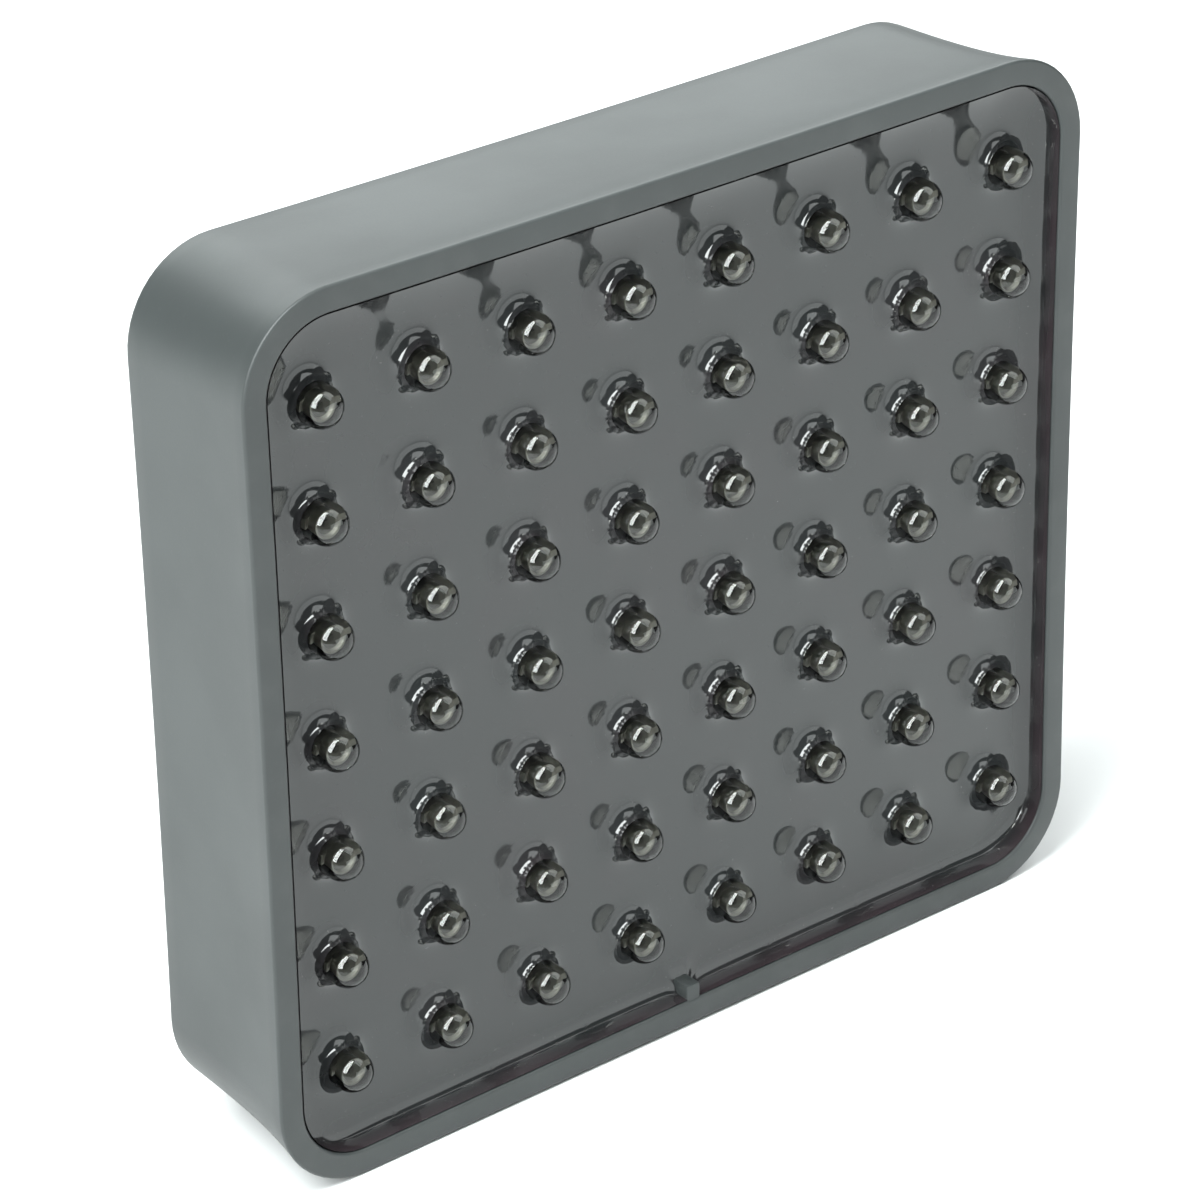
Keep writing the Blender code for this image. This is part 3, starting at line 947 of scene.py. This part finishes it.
def grommet_mesh():
    """A turned rubber grommet with rounded lips."""
    flange = (GROMMET_HIGH.x - GROMMET_LOW.x) / 2
    bore = 1.8 * MILLIMETRE
    neck = 3.5 * MILLIMETRE
    lip = 0.45 * MILLIMETRE
    thick = 1.4 * MILLIMETRE
    mouth = 0.5 * MILLIMETRE
    mouth_flat = 0.9 * MILLIMETRE
    web = BACK_Y - thick
    inner = GROMMET_LOW.y + thick
    profile = [(bore, GROMMET_LOW.y + 0.2 * MILLIMETRE)]
    profile += arc(flange - lip, GROMMET_LOW.y + lip, lip, -90, 0, 5)
    profile += [(flange, inner), (neck, inner), (neck, web), (flange, web)]
    profile += arc(flange - lip, BACK_Y - lip, lip, 0, 90, 5)
    profile += [(bore + mouth_flat, BACK_Y)]
    profile += arc(bore + mouth, BACK_Y - mouth, mouth, 90, 180, 5)
    centre = (GROMMET_CENTRE.x, GROMMET_CENTRE.z)
    return turned(profile, GROMMET_SEGMENTS, "grommet", centre)


# Operators

class LEDMODULE_OT_tray(bpy.types.Operator):
    """Build the moulded tray with its rib and grommet bore"""
    bl_idname = "led_module.tray"
    bl_label = "Build Tray"

    def execute(self, context):
        settings = context.scene.module_tray
        tray = Tray(settings)
        changes = [("UNION", tray.rib()), ("DIFFERENCE", tray.grommet_cut())]
        mesh = combined(tray.mesh(), changes)
        shade(mesh)
        piece("tray_shell", mesh, plastic_finish(settings), "grey_moulded_plastic", "case")
        return {"FINISHED"}


class LEDMODULE_OT_resin(bpy.types.Operator):
    """Pour the resin round the lenses and up the walls"""
    bl_idname = "led_module.resin"
    bl_label = "Pour Resin"

    def execute(self, context):
        scene = context.scene
        pour = Pour(scene.module_tray, scene.module_resin, scene.module_lamp)
        mesh = pour.mesh()
        shade(mesh, RESIN_SMOOTH_ANGLE)
        piece("resin_pour", mesh, resin_finish(scene.module_resin), "dark_potting_resin",
              "potting_resin")
        return {"FINISHED"}


class LEDMODULE_OT_lenses(bpy.types.Operator):
    """Set a clear lens in every LED position"""
    bl_idname = "led_module.lenses"
    bl_label = "Set Lenses"

    def execute(self, context):
        lamp = context.scene.module_lamp
        mesh = lens_mesh(lamp)
        material = epoxy_finish(lamp)
        for node in LED_NODES:
            obj = piece(node.replace("led", "lens"), mesh, material, "clear_epoxy_lens", node)
            place_lamp(obj, node, lamp)
        return {"FINISHED"}


class LEDMODULE_OT_lead_frames(bpy.types.Operator):
    """Put the lead frame, cup and chip inside every lens"""
    bl_idname = "led_module.lead_frames"
    bl_label = "Fit Lead Frames"

    def execute(self, context):
        lamp = context.scene.module_lamp
        kinds = (
            ("frame", lead_frame_mesh(lamp), silver_finish(lamp)),
            ("chip", die_mesh(lamp), die_finish(lamp)),
        )
        for node in LED_NODES:
            for word, mesh, material in kinds:
                obj = piece(node.replace("led", word), mesh, material, "clear_epoxy_lens")
                place_lamp(obj, node, lamp)
        return {"FINISHED"}


class LEDMODULE_OT_board(bpy.types.Operator):
    """Finish the circuit board and fit the cable grommet"""
    bl_idname = "led_module.board"
    bl_label = "Finish Board and Grommet"

    def execute(self, context):
        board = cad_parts["circuit_board"]
        board.data.materials.clear()
        board.data.materials.append(laminate_finish())
        grommet = grommet_mesh()
        shade(grommet)
        piece("grommet", grommet, rubber_finish(), "black_rubber", "cable_grommet")
        return {"FINISHED"}


class LEDMODULE_OT_stage(bpy.types.Operator):
    """Set the floor, lights and camera"""
    bl_idname = "led_module.stage"
    bl_label = "Set Stage"

    def execute(self, context):
        scene = context.scene
        stage = scene.module_stage
        add_floor(stage)
        world = bpy.data.worlds.new("studio")
        world.use_nodes = True
        background = world.node_tree.nodes["Background"]
        background.inputs["Color"].default_value = SKY_COLOUR
        background.inputs["Strength"].default_value = SKY_STRENGTH
        scene.world = world
        scene.view_settings.view_transform = "Standard"
        for light in LIGHTS:
            add_light(*light)
        scene.camera = add_camera(stage)
        return {"FINISHED"}


def place_lamp(obj, node, lamp):
    """Puts a lamp part on its LED's axis, with its seat behind the tip."""
    centre = LED_CENTRES[node]
    obj.location = (centre.x, TIP_Y + lamp.height, centre.z)


def add_floor(stage):
    bm = bmesh.new()
    bmesh.ops.create_grid(bm, x_segments=2, y_segments=2, size=FLOOR_REACH)
    mesh = mesh_from(bm, "floor")
    floor = bpy.data.objects.new("floor", mesh)
    mesh.materials.append(floor_finish(stage))
    floor.location.z = CAD_BOUNDS[0].z
    bpy.context.scene.collection.objects.link(floor)


def add_light(name, place, aim, size, power):
    data = bpy.data.lights.new(name, "AREA")
    data.shape = "RECTANGLE"
    data.size, data.size_y = size
    data.energy = power
    data.color = LIGHT_COLOUR
    light = bpy.data.objects.new(name, data)
    light.location = place
    direction = Vector(aim) - Vector(place)
    light.rotation_euler = direction.to_track_quat("-Z", "Y").to_euler()
    bpy.context.scene.collection.objects.link(light)
    return light


def add_camera(stage):
    data = bpy.data.cameras.new("camera")
    data.lens = stage.lens
    data.sensor_width = 36.0
    data.clip_start = 0.01
    camera = bpy.data.objects.new("camera", data)
    towards = Vector((
        math.sin(stage.turn) * math.cos(stage.rise),
        math.cos(stage.turn) * math.cos(stage.rise),
        -math.sin(stage.rise)))
    camera.location = Vector(stage.aim) - towards * stage.distance
    level = towards.to_track_quat("-Z", "Y").to_matrix().to_4x4()
    turned_camera = level @ Matrix.Rotation(stage.roll, 4, "Z")
    camera.rotation_euler = turned_camera.to_euler()
    bpy.context.scene.collection.objects.link(camera)
    return camera


class LEDMODULE_PT_panel(bpy.types.Panel):
    """Sizes and build steps of the LED module"""
    bl_idname = "LEDMODULE_PT_panel"
    bl_label = "LED Module"
    bl_space_type = "VIEW_3D"
    bl_region_type = "UI"
    bl_category = "LED Module"

    def draw(self, context):
        for operator in OPERATORS:
            self.layout.operator(operator.bl_idname)
        for prop, group in SETTINGS.items():
            box = self.layout.box()
            settings = getattr(context.scene, prop)
            for key in group.__annotations__:
                box.prop(settings, key)


SETTINGS = {
    "module_tray": TraySettings,
    "module_resin": ResinSettings,
    "module_lamp": LampSettings,
    "module_stage": StageSettings,
}
OPERATORS = (
    LEDMODULE_OT_tray,
    LEDMODULE_OT_resin,
    LEDMODULE_OT_lenses,
    LEDMODULE_OT_lead_frames,
    LEDMODULE_OT_board,
    LEDMODULE_OT_stage,
)


def register():
    for cls in (*SETTINGS.values(), *OPERATORS, LEDMODULE_PT_panel):
        bpy.utils.register_class(cls)
    for prop, group in SETTINGS.items():
        setattr(bpy.types.Scene, prop, bpy.props.PointerProperty(type=group))


def unregister():
    for prop in SETTINGS:
        delattr(bpy.types.Scene, prop)
    for cls in reversed((*SETTINGS.values(), *OPERATORS, LEDMODULE_PT_panel)):
        bpy.utils.unregister_class(cls)


def main():
    register()
    bpy.ops.led_module.tray()
    bpy.ops.led_module.resin()
    bpy.ops.led_module.lenses()
    bpy.ops.led_module.lead_frames()
    bpy.ops.led_module.board()
    bpy.ops.led_module.stage()


if __name__ == "__main__":
    main()
